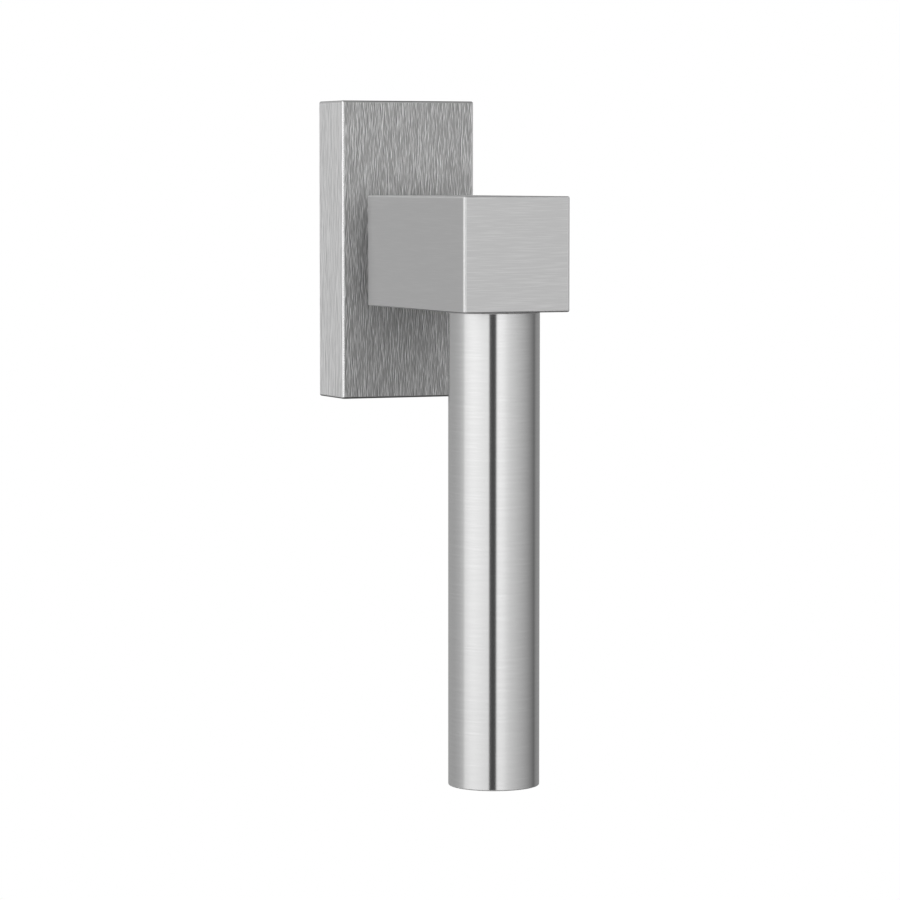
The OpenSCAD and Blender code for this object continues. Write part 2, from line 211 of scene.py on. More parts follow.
def rounded_block(name, low, high, rounding, steps=ROUND_STEPS, keep=lambda edge: False):
    """A block between two corners. Its edges are rounded, apart from those that keep() picks."""
    shape = bmesh.new()
    bmesh.ops.create_cube(shape, size=1)
    size = high - low
    centre = (high + low) / 2
    for vertex in shape.verts:
        x, y, z = vertex.co
        vertex.co = Vector((x * size.x, y * size.y, z * size.z)) + centre
    bmesh.ops.bevel(
        shape,
        geom=[edge for edge in shape.edges if not keep(edge)],
        offset=rounding,
        segments=steps,
        profile=0.5,
        affect="EDGES",
        clamp_overlap=True,
    )
    return from_shape(name, shape)


def carve(piece, *cutters):
    """Cuts the cutters' shapes out of a piece and removes the cutters."""
    for cutter in cutters:
        cut = piece.modifiers.new("cut", "BOOLEAN")
        cut.operation = "DIFFERENCE"
        cut.solver = "EXACT"
        cut.object = cutter
    settle(piece)
    for cutter in cutters:
        bpy.data.objects.remove(cutter)
    return piece


def sharp_edges(shape):
    """The edges of a shape between two faces that meet at a clear angle."""
    return [
        edge for edge in shape.edges
        if len(edge.link_faces) == 2 and edge.calc_face_angle(0) > EDGE_ANGLE
    ]


def round_edges(piece, rounding):
    """Rounds the sharp edges of a piece."""
    shape = bmesh.new()
    shape.from_mesh(piece.data)
    bmesh.ops.bevel(
        shape, geom=sharp_edges(shape), offset=rounding, segments=ROUND_STEPS, profile=0.5,
        affect="EDGES",
    )
    shape.to_mesh(piece.data)
    shape.free()


def round_corners(corners, steps=ROUND_STEPS):
    """A closed outline from corners of (x, y, rounding), with an arc for each rounding."""
    outline = []
    for index, (x, y, rounding) in enumerate(corners):
        here = Vector((x, y))
        if rounding <= 0:
            outline.append(here)
            continue
        before = (Vector(corners[index - 1][:2]) - here).normalized()
        after = (Vector(corners[(index + 1) % len(corners)][:2]) - here).normalized()
        half = before.angle(after) / 2
        centre = here + (before + after).normalized() * rounding / sin(half)
        start = here + before * rounding / tan(half) - centre
        end = here + after * rounding / tan(half) - centre
        first = atan2(start.y, start.x)
        sweep = (atan2(end.y, end.x) - first + pi) % tau - pi
        for step in range(steps + 1):
            turn = first + sweep * step / steps
            outline.append(centre + rounding * Vector((cos(turn), sin(turn))))
    return outline


def join_rings(shape, ring, following):
    """Faces between two rings of as many points."""
    for i in range(len(ring)):
        j = (i + 1) % len(ring)
        shape.faces.new((ring[i], ring[j], following[j], following[i]))


def turned(name, corners, place, segments=TURNED_SEGMENTS, steps=ROUND_STEPS):
    """A turned piece: a closed outline of (radius, height, rounding) corners, spun once round.

    place(radius, height, turn) says where a point of it lies.
    """
    outline = round_corners(corners, steps)
    shape = bmesh.new()
    rings = [
        [shape.verts.new(place(point.x, point.y, tau * i / segments)) for i in range(segments)]
        for point in outline
    ]
    for index, ring in enumerate(rings):
        after = (index + 1) % len(rings)
        if outline[index].x == 0 and outline[after].x == 0:
            continue
        join_rings(shape, ring, rings[after])
    bmesh.ops.remove_doubles(shape, verts=shape.verts, dist=SAME_RING_POINT)
    bmesh.ops.dissolve_degenerate(shape, edges=shape.edges, dist=NO_LENGTH)
    bmesh.ops.recalc_face_normals(shape, faces=shape.faces)
    return from_shape(name, shape)


def bore(name, radius, start, end, place):
    """A plain cylinder that cuts a round hole from one height to another."""
    return turned(name, [(0, start, 0), (radius, start, 0), (radius, end, 0), (0, end, 0)], place)


def round_lever_axis(radius, height, turn):
    """A point at a radius from the lever's axis."""
    return Vector((radius * cos(turn), LEVER_AXIS.y + radius * sin(turn), height))


def round_spindle_axis(radius, height, turn):
    """A point at a radius from the spindle's axis, at a height above the sash."""
    return Vector((radius * cos(turn), -height, radius * sin(turn)))


def map_grain(piece, place):
    """Writes the grain map: place(point, normal) gives (along the grain, across it) in metres."""
    mesh = piece.data
    layer = mesh.uv_layers.new(name="grain")
    for polygon in mesh.polygons:
        for corner in polygon.loop_indices:
            vertex = mesh.vertices[mesh.loops[corner].vertex_index]
            layer.data[corner].uv = place(vertex.co, polygon.normal)
    return piece


def map_turned_grain(piece, centre, axis):
    """Writes the grain map of a turned piece: along its circles, and across them."""
    mesh = piece.data
    layer = mesh.uv_layers.new(name="grain")
    side = Vector((0, 0, 1)) if abs(axis.z) < LOOKS_HALF else Vector((1, 0, 0))
    front = axis.cross(side)

    def reach(point):
        off = point - centre
        return off.dot(side), off.dot(front), off.dot(axis)

    for polygon in mesh.polygons:
        x, y, _ = reach(polygon.center)
        middle = atan2(y, x)
        if len(polygon.vertices) > 4 and hypot(x, y) < CENTRE_REACH:
            for corner in polygon.loop_indices:
                x, y, _ = reach(mesh.vertices[mesh.loops[corner].vertex_index].co)
                layer.data[corner].uv = (x, y)
            continue
        for corner in polygon.loop_indices:
            x, y, height = reach(mesh.vertices[mesh.loops[corner].vertex_index].co)
            radius = hypot(x, y)
            turn = middle
            if radius > SAME_POINT:
                turn = middle + (atan2(y, x) - middle + pi) % tau - pi
            layer.data[corner].uv = (turn * LEVER_RADIUS, height + radius)
    return piece


# ---------------------------------------------------------------- materials

def node(tree, kind, **settings):
    """Adds a node; settings name its properties, or its inputs by position as in0, in1."""
    made = tree.nodes.new(kind)
    for key, value in settings.items():
        if key.startswith("in") and key[2:].isdigit():
            made.inputs[int(key[2:])].default_value = value
        else:
            setattr(made, key, value)
    return made


def scaled(tree, value, factor):
    """A value times a number."""
    product = node(tree, "ShaderNodeMath", operation="MULTIPLY", in1=factor)
    tree.links.new(value, product.inputs[0])
    return product.outputs[0]


def streak_noise(tree, across, along, width, length, seed):
    """Noise drawn out along the grain, as streaks of about the given width and length.

    along lists one or two outputs that change along the grain.
    """
    place = node(tree, "ShaderNodeCombineXYZ", in2=seed)
    tree.links.new(scaled(tree, across, 1 / width), place.inputs[0])
    for index, distance in enumerate(along):
        tree.links.new(scaled(tree, distance, 1 / length), place.inputs[index + 1])
    noise = node(tree, "ShaderNodeTexNoise")
    noise.inputs["Scale"].default_value = 1
    noise.inputs["Detail"].default_value = STREAK_DETAIL
    noise.inputs["Roughness"].default_value = STREAK_DETAIL_SHARE
    noise.inputs["Distortion"].default_value = STREAK_BEND
    tree.links.new(place.outputs[0], noise.inputs["Vector"])
    return noise.outputs["Fac"]


def hairlines(tree, across, along, width, length, seed):
    """Straight parallel scratches: each strip of the given width starts and ends on its own."""
    strip = node(tree, "ShaderNodeMath", operation="FLOOR")
    tree.links.new(scaled(tree, across, 1 / width), strip.inputs[0])
    lot = node(tree, "ShaderNodeTexWhiteNoise", noise_dimensions="1D")
    tree.links.new(strip.outputs[0], lot.inputs["W"])
    start = node(tree, "ShaderNodeMath", operation="MULTIPLY_ADD", in1=STRIP_SPREAD, in2=seed)
    tree.links.new(lot.outputs["Value"], start.inputs[0])
    place = node(tree, "ShaderNodeMath", operation="ADD")
    tree.links.new(scaled(tree, along[0], 1 / length), place.inputs[0])
    tree.links.new(start.outputs[0], place.inputs[1])
    noise = node(tree, "ShaderNodeTexNoise", noise_dimensions="1D")
    noise.inputs["Scale"].default_value = 1
    noise.inputs["Detail"].default_value = HAIRLINE_DETAIL
    tree.links.new(place.outputs[0], noise.inputs["W"])
    return noise.outputs["Fac"]


def moved(tree, value, distance):
    """A value with a distance added."""
    place = node(tree, "ShaderNodeMath", operation="ADD", in1=distance)
    tree.links.new(value, place.inputs[0])
    return place.outputs[0]


def add_relief(tree, shader, height, depth):
    """Raises the surface a little where the height is greater."""
    relief = node(tree, "ShaderNodeBump")
    relief.inputs["Strength"].default_value = 1
    relief.inputs["Distance"].default_value = depth
    tree.links.new(height, relief.inputs["Height"])
    tree.links.new(relief.outputs[0], shader.inputs["Normal"])


def brushed_steel(name, tone, roughness, stretch, streaks, bump, swing=0.06, turned_round=None,
                  flank=None):
    """Satin stainless steel, brushed along the piece's grain map.

    streaks lists (width, length, contrast). Light scratches stand out from a darker ground.
    stretch draws the highlight out across the grain, bump is how high the scratches stand, and
    swing is how far they change the roughness.
    A turned piece gives its axis, so that its grain closes on itself without a seam.
    flank gives how far beside each scratch its dark flank lies, and how strong that is.
    """
    material = bpy.data.materials.new(name)
    material.use_nodes = True
    tree = material.node_tree
    link = tree.links.new
    shader = tree.nodes["Principled BSDF"]
    shader.inputs["Metallic"].default_value = 1
    shader.inputs["Anisotropic"].default_value = stretch
    shader.inputs["Anisotropic Rotation"].default_value = ACROSS_GRAIN
    grain = node(tree, "ShaderNodeUVMap", uv_map="grain")
    grain_parts = node(tree, "ShaderNodeSeparateXYZ")
    link(grain.outputs[0], grain_parts.inputs[0])
    along = [grain_parts.outputs[0]]
    if turned_round:
        place = node(tree, "ShaderNodeTexCoord")
        place_parts = node(tree, "ShaderNodeSeparateXYZ")
        link(place.outputs["Object"], place_parts.inputs[0])
        along = [place_parts.outputs[i] for i in range(3) if "XYZ"[i] != turned_round]
    tangent = node(tree, "ShaderNodeTangent", direction_type="UV_MAP", uv_map="grain")
    link(tangent.outputs[0], shader.inputs["Tangent"])
    total = None
    across = grain_parts.outputs[1]
    layers = [(across, index, *streak) for index, streak in enumerate(streaks)]
    if flank:
        beside = moved(tree, across, flank[0])
        layers += [(beside, index, width, length, -flank[1] * contrast)
                   for index, (width, length, contrast) in enumerate(streaks)]
    for place, index, width, length, contrast in layers:
        draw = hairlines if width < HAIRLINE_LIMIT and len(along) == 1 else streak_noise
        noise = draw(tree, place, along, width, length, LAYER_SEED * index)
        streak = node(
            tree, "ShaderNodeMapRange", clamp=True, in1=GROUND_LEVEL, in2=SCRATCH_LEVEL,
            in3=GROUND_TONE * contrast, in4=SCRATCH_TONE * contrast,
        )
        link(noise, streak.inputs[0])
        if total is None:
            total = streak.outputs[0]
        else:
            both = node(tree, "ShaderNodeMath", operation="ADD")
            link(total, both.inputs[0])
            link(streak.outputs[0], both.inputs[1])
            total = both.outputs[0]
    light = node(
        tree, "ShaderNodeMath", operation="MULTIPLY_ADD", in1=tone, in2=tone, use_clamp=True,
    )
    link(total, light.inputs[0])
    shade = node(tree, "ShaderNodeCombineColor")
    for channel in range(3):
        link(light.outputs[0], shade.inputs[channel])
    link(shade.outputs[0], shader.inputs["Base Color"])
    rough = node(tree, "ShaderNodeMath", operation="MULTIPLY_ADD", in1=swing, in2=roughness)
    link(total, rough.inputs[0])
    link(rough.outputs[0], shader.inputs["Roughness"])
    add_relief(tree, shader, total, bump)
    return material


def plain_finish(name, colour, metallic, roughness, mottle, scale, bump):
    """A finish without grain: cast zinc, plating, spring steel or plastic, mottled a little."""
    material = bpy.data.materials.new(name)
    material.use_nodes = True
    tree = material.node_tree
    link = tree.links.new
    shader = tree.nodes["Principled BSDF"]
    shader.inputs["Metallic"].default_value = metallic
    place = node(tree, "ShaderNodeTexCoord").outputs["Object"]
    noise = node(tree, "ShaderNodeTexNoise")
    noise.inputs["Scale"].default_value = scale
    noise.inputs["Detail"].default_value = MOTTLE_DETAIL
    link(place, noise.inputs["Vector"])
    ramp = node(tree, "ShaderNodeValToRGB")
    dark, light = ramp.color_ramp.elements
    dark.position, light.position = MOTTLE_LOW, MOTTLE_HIGH
    dark.color = (*[c * (1 - mottle) for c in colour], 1)
    light.color = (*[min(1, c * (1 + mottle)) for c in colour], 1)
    link(noise.outputs["Fac"], ramp.inputs[0])
    link(ramp.outputs[0], shader.inputs["Base Color"])
    rough = node(
        tree, "ShaderNodeMapRange", in1=MOTTLE_LOW, in2=MOTTLE_HIGH,
        in3=roughness * SMOOTHER, in4=min(1, roughness * ROUGHER),
    )
    link(noise.outputs["Fac"], rough.inputs[0])
    link(rough.outputs[0], shader.inputs["Roughness"])
    add_relief(tree, shader, noise.outputs["Fac"], bump)
    return material


COVER_FACE_STEEL = brushed_steel(
    "coarse_brushed_cover_face", 0.66, 0.78, 0.10,
    [(0.11 * MM, 10.0 * MM, 0.25), (0.09 * MM, 3.4 * MM, 0.32), (0.30 * MM, 14.0 * MM, 0.03)],
    0.001 * MM, flank=(0.25 * MM, 0.36),
)
# Painted light on the cover's side walls: a lighter tone than the face steel (0.86 against 0.66),
# standing in for the brighter light they catch. Their finer, more stretched brushing is a real
# difference.
COVER_SIDE_PAINTED_LIGHTER_STEEL = brushed_steel(
    "brushed_cover_sides", 0.86, 0.55, 0.60,
    [(0.15 * MM, 14.0 * MM, 0.19), (0.11 * MM, 5.0 * MM, 0.14), (0.5 * MM, 20.0 * MM, 0.05)],
    0.001 * MM, flank=(0.55 * MM, 0.36),
)
COVER_EDGE_STEEL = brushed_steel(
    "eased_cover_edge", 0.95, 0.22, 0.50,
    [(0.30 * MM, 2.0 * MM, 0.06)], 0.001 * MM,
)
# Painted shade on the cover's top and bottom rounded edges: a dark tone that draws a dark line
# along them.
COVER_LEVEL_EDGE_PAINTED_SHADE = brushed_steel(
    "eased_level_cover_edge", 0.42, 0.30, 0.50,
    [(0.30 * MM, 2.0 * MM, 0.06)], 0.001 * MM,
)
BLOCK_END_STEEL = brushed_steel(
    "brushed_block_end", 0.80, 0.38, 0.75,
    [(0.15 * MM, 9.0 * MM, 0.045), (0.35 * MM, 30.0 * MM, 0.02)], 0.0005 * MM,
)
# Painted light on the block's sides, top and bottom: a lighter tone than its ends (0.87 against
# 0.80), standing in for the brighter light they catch.
BLOCK_SIDE_PAINTED_LIGHTER_STEEL = brushed_steel(
    "brushed_block_sides", 0.87, 0.38, 0.75,
    [(0.15 * MM, 12.0 * MM, 0.016), (1.5 * MM, 40.0 * MM, 0.008)], 0.0003 * MM,
)
BLOCK_EDGE_STEEL = brushed_steel(
    "eased_block_edge", 0.96, 0.48, 0.10,
    [(0.30 * MM, 6.0 * MM, 0.04)], 0.0004 * MM,
)
LEVER_RIM_STEEL = brushed_steel(
    "eased_lever_rim", 0.95, 0.55, 0.10,
    [(0.15 * MM, 6.0 * MM, 0.04)], 0.0003 * MM, 0.02, "Z",
)
LEVER_STEEL = brushed_steel(
    "brushed_lever_steel", 0.77, 0.19, 0.97,
    [(0.14 * MM, 6.0 * MM, 0.03), (0.6 * MM, 25.0 * MM, 0.015)], 0.0002 * MM, 0.02, "Z",
)
NECK_STEEL = brushed_steel(
    "turned_neck_steel", 0.66, 0.34, 0.8,
    [(0.15 * MM, 9.0 * MM, 0.08), (0.4 * MM, 20.0 * MM, 0.05)], 0.001 * MM, 0.06, "Y",
)
ZINC = plain_finish("cast_zinc", (0.50, 0.51, 0.53), 1, 0.48, 0.10, 900, 0.006 * MM)
PLATING = plain_finish("zinc_plating", (0.62, 0.64, 0.68), 1, 0.28, 0.06, 700, 0.0007 * MM)
SPRING_STEEL = plain_finish("spring_steel", (0.20, 0.20, 0.215), 1, 0.35, 0.10, 800, 0.002 * MM)
ACETAL = plain_finish("black_acetal", (0.028, 0.028, 0.03), 0, 0.42, 0.15, 1200, 0.004 * MM)

NODE_FINISH = {
    "zinc": ZINC,
    "plated_steel": PLATING,
    "spring_steel": SPRING_STEEL,
    "acetal": ACETAL,
}


def dress(piece, material, body, slot, *nodes):
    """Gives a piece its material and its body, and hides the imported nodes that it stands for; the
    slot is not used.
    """
    piece.data.materials.clear()
    piece.data.materials.append(material)
    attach(piece, body)
    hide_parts(*nodes)
    return piece


# ---------------------------------------------------------------- the pieces

def upright_grain(point, normal):
    """Grain along Z on every wall, and along X on the faces that look up or down."""
    if abs(normal.z) > LOOKS_UP:
        return point.x, point.y
    if abs(normal.y) >= abs(normal.x):
        return point.z, point.x
    return point.z, point.y + COVER_HIGH.x


def arm_grain(point, normal):
    """Grain level on every face: along the arm on its sides, and across it on its ends."""
    if abs(normal.y) > LOOKS_ALONG:
        return point.x, point.z
    if abs(normal.x) >= abs(normal.z):
        return point.y, point.z
    return point.y, point.x


def make_cover():
    """The rose's cover: a shell with rounded front edges, open at the back, with a neck hole."""
    back = COVER_HIGH.y
    cover = rounded_block(
        "cover_shell", COVER_LOW, COVER_HIGH, COVER_ROUND,
        keep=lambda edge: all(abs(v.co.y - back) < SAME_POINT for v in edge.verts),
    )
    inset = Vector((COVER_WALL, 0, COVER_WALL))
    hollow = rounded_block(
        "hollow",
        Vector((COVER_LOW.x, COVER_LOW.y + COVER_WALL, COVER_LOW.z)) + inset,
        Vector((COVER_HIGH.x, back + COVER_WALL, COVER_HIGH.z)) - inset,
        COVER_ROUND,
    )
    hole = bore(
        "neck_hole", NECK_HOLE_RADIUS, -COVER_LOW.y - 2 * COVER_WALL, -COVER_LOW.y + COVER_WALL,
        round_spindle_axis,
    )
    bump = CLIP_BUMP_RADIUS + CLIP_GROOVE_ROOM
    floor = COVER_HIGH.z - COVER_WALL + CLIP_GROOVE_DEPTH
    grooves = []
    for side in (-1, 1):
        groove = rounded_block(
            "clip_groove",
            Vector((CLIPS_LOW.x - CLIP_SIDE_ROOM, CLIP_BUMP_LINE - bump, -COVER_WALL / 2)),
            Vector((CLIPS_HIGH.x + CLIP_SIDE_ROOM, CLIP_BUMP_LINE + bump, COVER_WALL / 2)),
            FINE_ROUND, FINE_STEPS,
        )
        groove.data.transform(Matrix.Translation((0, 0, side * (floor - COVER_WALL / 2))))
        grooves.append(groove)
    carve(cover, hollow, hole, *grooves)
    weigh_normals(cover)
    map_grain(cover, upright_grain)
    dress(cover, COVER_FACE_STEEL, "cover", "cover_steel", "rose_cover")
    cover.data.materials.append(COVER_SIDE_PAINTED_LIGHTER_STEEL)
    cover.data.materials.append(COVER_EDGE_STEEL)
    cover.data.materials.append(COVER_LEVEL_EDGE_PAINTED_SHADE)
    for polygon in cover.data.polygons:
        facing = max(abs(part) for part in polygon.normal)
        if facing < LOOKS_STRAIGHT:
            # Level rounded edges take the dark tone, which is painted shade. Upright rounded edges
            # take the plain edge steel.
            polygon.material_index = 2 if abs(polygon.normal.x) > abs(polygon.normal.z) else 3
        # Side walls take the lighter side tone, which is painted light.
        elif abs(polygon.normal.y) < LOOKS_HALF:
            polygon.material_index = 1
    return cover


def make_block_arm():
    """The square block arm, with rounded edges and holes for neck, lever stud and grub screw."""
    front = BLOCK_LOW.y
    below = BLOCK_LOW.z - END_ROOM
    block = rounded_block(
        "block_arm", BLOCK_LOW, BLOCK_HIGH, BLOCK_CORNER_ROUND,
        keep=lambda edge: any(abs(v.co.y - front) > SAME_POINT for v in edge.verts)
        or abs(edge.verts[0].co.z - edge.verts[1].co.z) < SAME_POINT,
    )
    round_edges(block, BLOCK_ROUND)
    grub_axis = (GRUB_LOW + GRUB_HIGH) / 2
    carve(
        block,
        bore("neck_bore", SPIGOT_RADIUS + SEAT_ROOM, -BLOCK_HIGH.y - END_ROOM,
             -SHANK_LOW.y + END_ROOM, round_spindle_axis),
        bore("stud_bore", STUD_RADIUS + SEAT_ROOM, below, STUD_HIGH.z + END_ROOM, round_lever_axis),
        bore("screw_bore", GRUB_HIGH.x + SEAT_ROOM, below, GRUB_HIGH.z,
             lambda r, height, turn: Vector((r * cos(turn), grub_axis.y + r * sin(turn), height))),
    )
    weigh_normals(block)
    map_grain(block, arm_grain)
    dress(block, BLOCK_SIDE_PAINTED_LIGHTER_STEEL, "grip", "block_steel", "neck_block")
    block.data.materials.append(BLOCK_END_STEEL)
    block.data.materials.append(BLOCK_EDGE_STEEL)
    # Faces other than the ends keep the first, lighter tone, which is painted light.
    for polygon in block.data.polygons:
        polygon.material_index = int(abs(polygon.normal.y) > LOOKS_ALONG)
        if LOOKS_ASIDE < abs(polygon.normal.x) < LOOKS_STRAIGHT:
            polygon.material_index = 2
    return block


def make_lever():
    """The lever tube, turned, with an eased edge at each end."""
    inside = DISC_RADIUS + SEAT_ROOM
    lever = turned(
        "lever_tube",
        [(inside, LEVER_LOW.z, FINE_ROUND), (LEVER_RADIUS, LEVER_LOW.z, LEVER_ROUND),
         (LEVER_RADIUS, LEVER_HIGH.z, TOP_ROUND), (inside, LEVER_HIGH.z, 0)],
        round_lever_axis, LEVER_SEGMENTS,
    )
    weigh_normals(lever)
    map_turned_grain(lever, LEVER_AXIS, Vector((0, 0, 1)))
    dress(lever, LEVER_STEEL, "grip", "lever_steel", "grip_tube")
    lever.data.materials.append(LEVER_RIM_STEEL)
    for polygon in lever.data.polygons:
        polygon.material_index = int(
            LOOKS_ASIDE < abs(polygon.normal.z) < LOOKS_ALMOST_STRAIGHT
        )
    return lever


def make_end_disc():
    """The disc in the lever's end, with an eased edge so that its seam shows."""
    disc = turned(
        "lever_end_disc",
        [(0, DISC_LOW.z, 0), (DISC_RADIUS, DISC_LOW.z, FINE_ROUND),
         (DISC_RADIUS, DISC_HIGH.z, FINE_ROUND), (0, DISC_HIGH.z, 0)],
        round_lever_axis, LEVER_SEGMENTS,
    )
    weigh_normals(disc)
    map_turned_grain(disc, LEVER_AXIS, Vector((0, 0, 1)))
    return dress(disc, LEVER_STEEL, "grip", "lever_steel", "grip_end_disc")


def finished_copy(name, source, material, body, slot, rounding=FINE_ROUND):
    """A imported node's own shape, with its sharp edges broken by a small rounding."""
    shape = bmesh.new()
    shape.from_mesh(frame["nodes"][source].data)
    bmesh.ops.remove_doubles(shape, verts=shape.verts, dist=SAME_POINT)
    bmesh.ops.dissolve_limit(
        shape, angle_limit=FLAT_ANGLE, verts=shape.verts, edges=shape.edges,
    )
    bmesh.ops.bevel(
        shape, geom=sharp_edges(shape), offset=rounding, segments=FINE_STEPS, profile=0.5,
        affect="EDGES", clamp_overlap=True,
    )
    bmesh.ops.recalc_face_normals(shape, faces=shape.faces)
    piece = weigh_normals(from_shape(name, shape))
    return dress(piece, material, body, slot, source)


def make_neck():
    """The turned neck, which shows as the collar between the rose and the arm."""
    neck = finished_copy("turned_neck", "neck_shank", NECK_STEEL, "grip", "neck_steel")
    return map_turned_grain(neck, Vector((0, 0, 0)), Vector((0, 1, 0)))


def make_wave_washer():
    """A sprung ring of flat strip, bent into waves all round."""
    inside, outside = COLLAR_RADIUS - COLLAR_SHOULDER + WAVE_ROOM, WAVE_HIGH.x
    middle = -(WAVE_LOW.y + WAVE_HIGH.y) / 2
    half = WAVE_STRIP / 2
    swing = (WAVE_HIGH.y - WAVE_LOW.y) / 2 - half

    def place(radius, height, turn):
        return round_spindle_axis(radius, middle + height + swing * cos(WAVES * turn), turn)

    washer = turned(
        "wave_washer_ring",
        [(inside, -half, WAVE_ROUND), (outside, -half, WAVE_ROUND),
         (outside, half, WAVE_ROUND), (inside, half, WAVE_ROUND)],
        place, WAVE_SEGMENTS, FINE_STEPS,
    )
    weigh_normals(washer)
    return dress(washer, SPRING_STEEL, "grip", "spring_steel", "wave_washer")


def thread_radius(height, turn):
    """The radius of the screw's thread at a height behind the base and a turn about its axis."""
    tip = SCREWS_HIGH.y
    phase = (height / THREAD_PITCH - turn / tau) % 1
    from_crest = 2 * min(phase, 1 - phase)
    cut = min(1, max(0, (from_crest - THREAD_CREST) / THREAD_FLANK)) * THREAD_DEPTH
    run_out = min(1, max(0, (-height - THREAD_START) / THREAD_PITCH))
    radius = THREAD_DIAMETER / 2 - cut
    radius = SCREW_SHANK / 2 + (radius - SCREW_SHANK / 2) * run_out
    chamfer = THREAD_DIAMETER / 2 - THREAD_DEPTH - TIP_STEP + (tip + height) * TIP_SLOPE
    return min(radius, chamfer)


def make_screw():
    """One countersunk machine screw on the spindle axis, with a helical thread and a recess."""
    head_top = -SCREWS_LOW.y
    tip = -SCREWS_HIGH.y
    head = (SCREWS_HIGH.x - SCREWS_LOW.x) / 2
    neck = head_top - (head - SCREW_SHANK / 2)
    count = round((-THREAD_START - tip) / THREAD_PITCH * THREAD_STEPS)
    heights = [tip + (-THREAD_START - tip) * i / count for i in range(count + 1)]
    shape = bmesh.new()
    rings = []

    def add_ring(radius_at, height):
        turns = [tau * i / THREAD_SEGMENTS for i in range(THREAD_SEGMENTS)]
        rings.append([
            shape.verts.new(round_spindle_axis(radius_at(turn), height, turn)) for turn in turns
        ])

    for height in heights:
        add_ring(lambda turn: thread_radius(height, turn), height)
    for point in round_corners(
        [(SCREW_SHANK / 2, neck, 0), (head, head_top, SCREW_HEAD_ROUND),
         (head - SCREW_HEAD_FLAT, head_top, 0)], SCREW_HEAD_STEPS,
    ):
        add_ring(lambda turn: point.x, point.y)
    for ring, following in zip(rings, rings[1:]):
        join_rings(shape, ring, following)
    shape.faces.new(rings[0])
    shape.faces.new(rings[-1])
    bmesh.ops.recalc_face_normals(shape, faces=shape.faces)
    screw = from_shape("screw", shape)
    cutters = []
    for across in (True, False):
        long, short = RECESS_LENGTH / 2, RECESS_WIDTH / 2
        reach = (long, short) if across else (short, long)
        cutter = rounded_block(
            "recess",
            Vector((-reach[0], -head_top - RECESS_RISE, -reach[1])),
            Vector((reach[0], -head_top + RECESS_DEPTH, reach[1])), RECESS_ROUND, FINE_STEPS,
        )
        for vertex in cutter.data.vertices:
            if vertex.co.y > -head_top + RECESS_RISE:
                vertex.co.x *= RECESS_TAPER_LONG if across else RECESS_TAPER_SHORT
                vertex.co.z *= RECESS_TAPER_SHORT if across else RECESS_TAPER_LONG
        cutters.append(cutter)
    carve(screw, *cutters)
    return screw


def make_rivet():
    """One rivet on the spindle axis, with its countersunk head level with the plate's back."""
    top = -RIVETS_LOW.y
    return turned(
        "rivet",
        [(0, 0, 0), (RIVET_HEAD, 0, FINE_ROUND),
         (RIVET_SHANK, RIVET_HEAD_HEIGHT, RIVET_NECK_ROUND),
         (RIVET_SHANK, top, RIVET_TIP_ROUND), (0, top, 0)],
        round_spindle_axis, RIVET_SEGMENTS, RIVET_STEPS,
    )


def fastener_pattern():
    """A node tree that repeats one fastener at the points of an upright grid."""
    tree = bpy.data.node_groups.new("fastener_pattern", "GeometryNodeTree")
    face = tree.interface
    face.new_socket("geometry", in_out="INPUT", socket_type="NodeSocketGeometry")
    face.new_socket("fastener", in_out="INPUT", socket_type="NodeSocketObject")
    face.new_socket("columns", in_out="INPUT", socket_type="NodeSocketInt")
    face.new_socket("rows", in_out="INPUT", socket_type="NodeSocketInt")
    face.new_socket("width", in_out="INPUT", socket_type="NodeSocketFloat")
    face.new_socket("height", in_out="INPUT", socket_type="NodeSocketFloat")
    face.new_socket("finish", in_out="INPUT", socket_type="NodeSocketMaterial")
    face.new_socket("geometry", in_out="OUTPUT", socket_type="NodeSocketGeometry")
    link = tree.links.new
    given = tree.nodes.new("NodeGroupInput")
    grid = tree.nodes.new("GeometryNodeMeshGrid")
    link(given.outputs["columns"], grid.inputs["Vertices X"])
    link(given.outputs["rows"], grid.inputs["Vertices Y"])
    link(given.outputs["width"], grid.inputs["Size X"])
    link(given.outputs["height"], grid.inputs["Size Y"])
    upright = tree.nodes.new("GeometryNodeTransform")
    upright.inputs["Rotation"].default_value = (pi / 2, 0, 0)
    link(grid.outputs["Mesh"], upright.inputs["Geometry"])
    fastener = tree.nodes.new("GeometryNodeObjectInfo")
    link(given.outputs["fastener"], fastener.inputs["Object"])
    repeated = tree.nodes.new("GeometryNodeInstanceOnPoints")
    link(upright.outputs["Geometry"], repeated.inputs["Points"])
    link(fastener.outputs["Geometry"], repeated.inputs["Instance"])
    solid = tree.nodes.new("GeometryNodeRealizeInstances")
    link(repeated.outputs["Instances"], solid.inputs["Geometry"])
    coated = tree.nodes.new("GeometryNodeSetMaterial")
    link(solid.outputs["Geometry"], coated.inputs["Geometry"])
    link(given.outputs["finish"], coated.inputs["Material"])
    result = tree.nodes.new("NodeGroupOutput")
    link(coated.outputs["Geometry"], result.inputs["geometry"])
    return tree


def repeat_fastener(name, tree, fastener, columns, rows, width, height, source):
    """Sets copies of a fastener at the points of a grid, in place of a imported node."""
    piece = add_object(name, bpy.data.meshes.new(name))
    pattern = piece.modifiers.new("pattern", "NODES")
    pattern.node_group = tree
    sockets = {
        item.name: item.identifier for item in tree.interface.items_tree
        if item.in_out == "INPUT"
    }
    pattern[sockets["fastener"]] = fastener
    pattern[sockets["columns"]] = columns
    pattern[sockets["rows"]] = rows
    pattern[sockets["width"]] = width
    pattern[sockets["height"]] = height
    pattern[sockets["finish"]] = PLATING
    settle(piece)
    bpy.data.objects.remove(fastener)
    weigh_normals(piece)
    return dress(piece, PLATING, "base", "plated_steel", source)


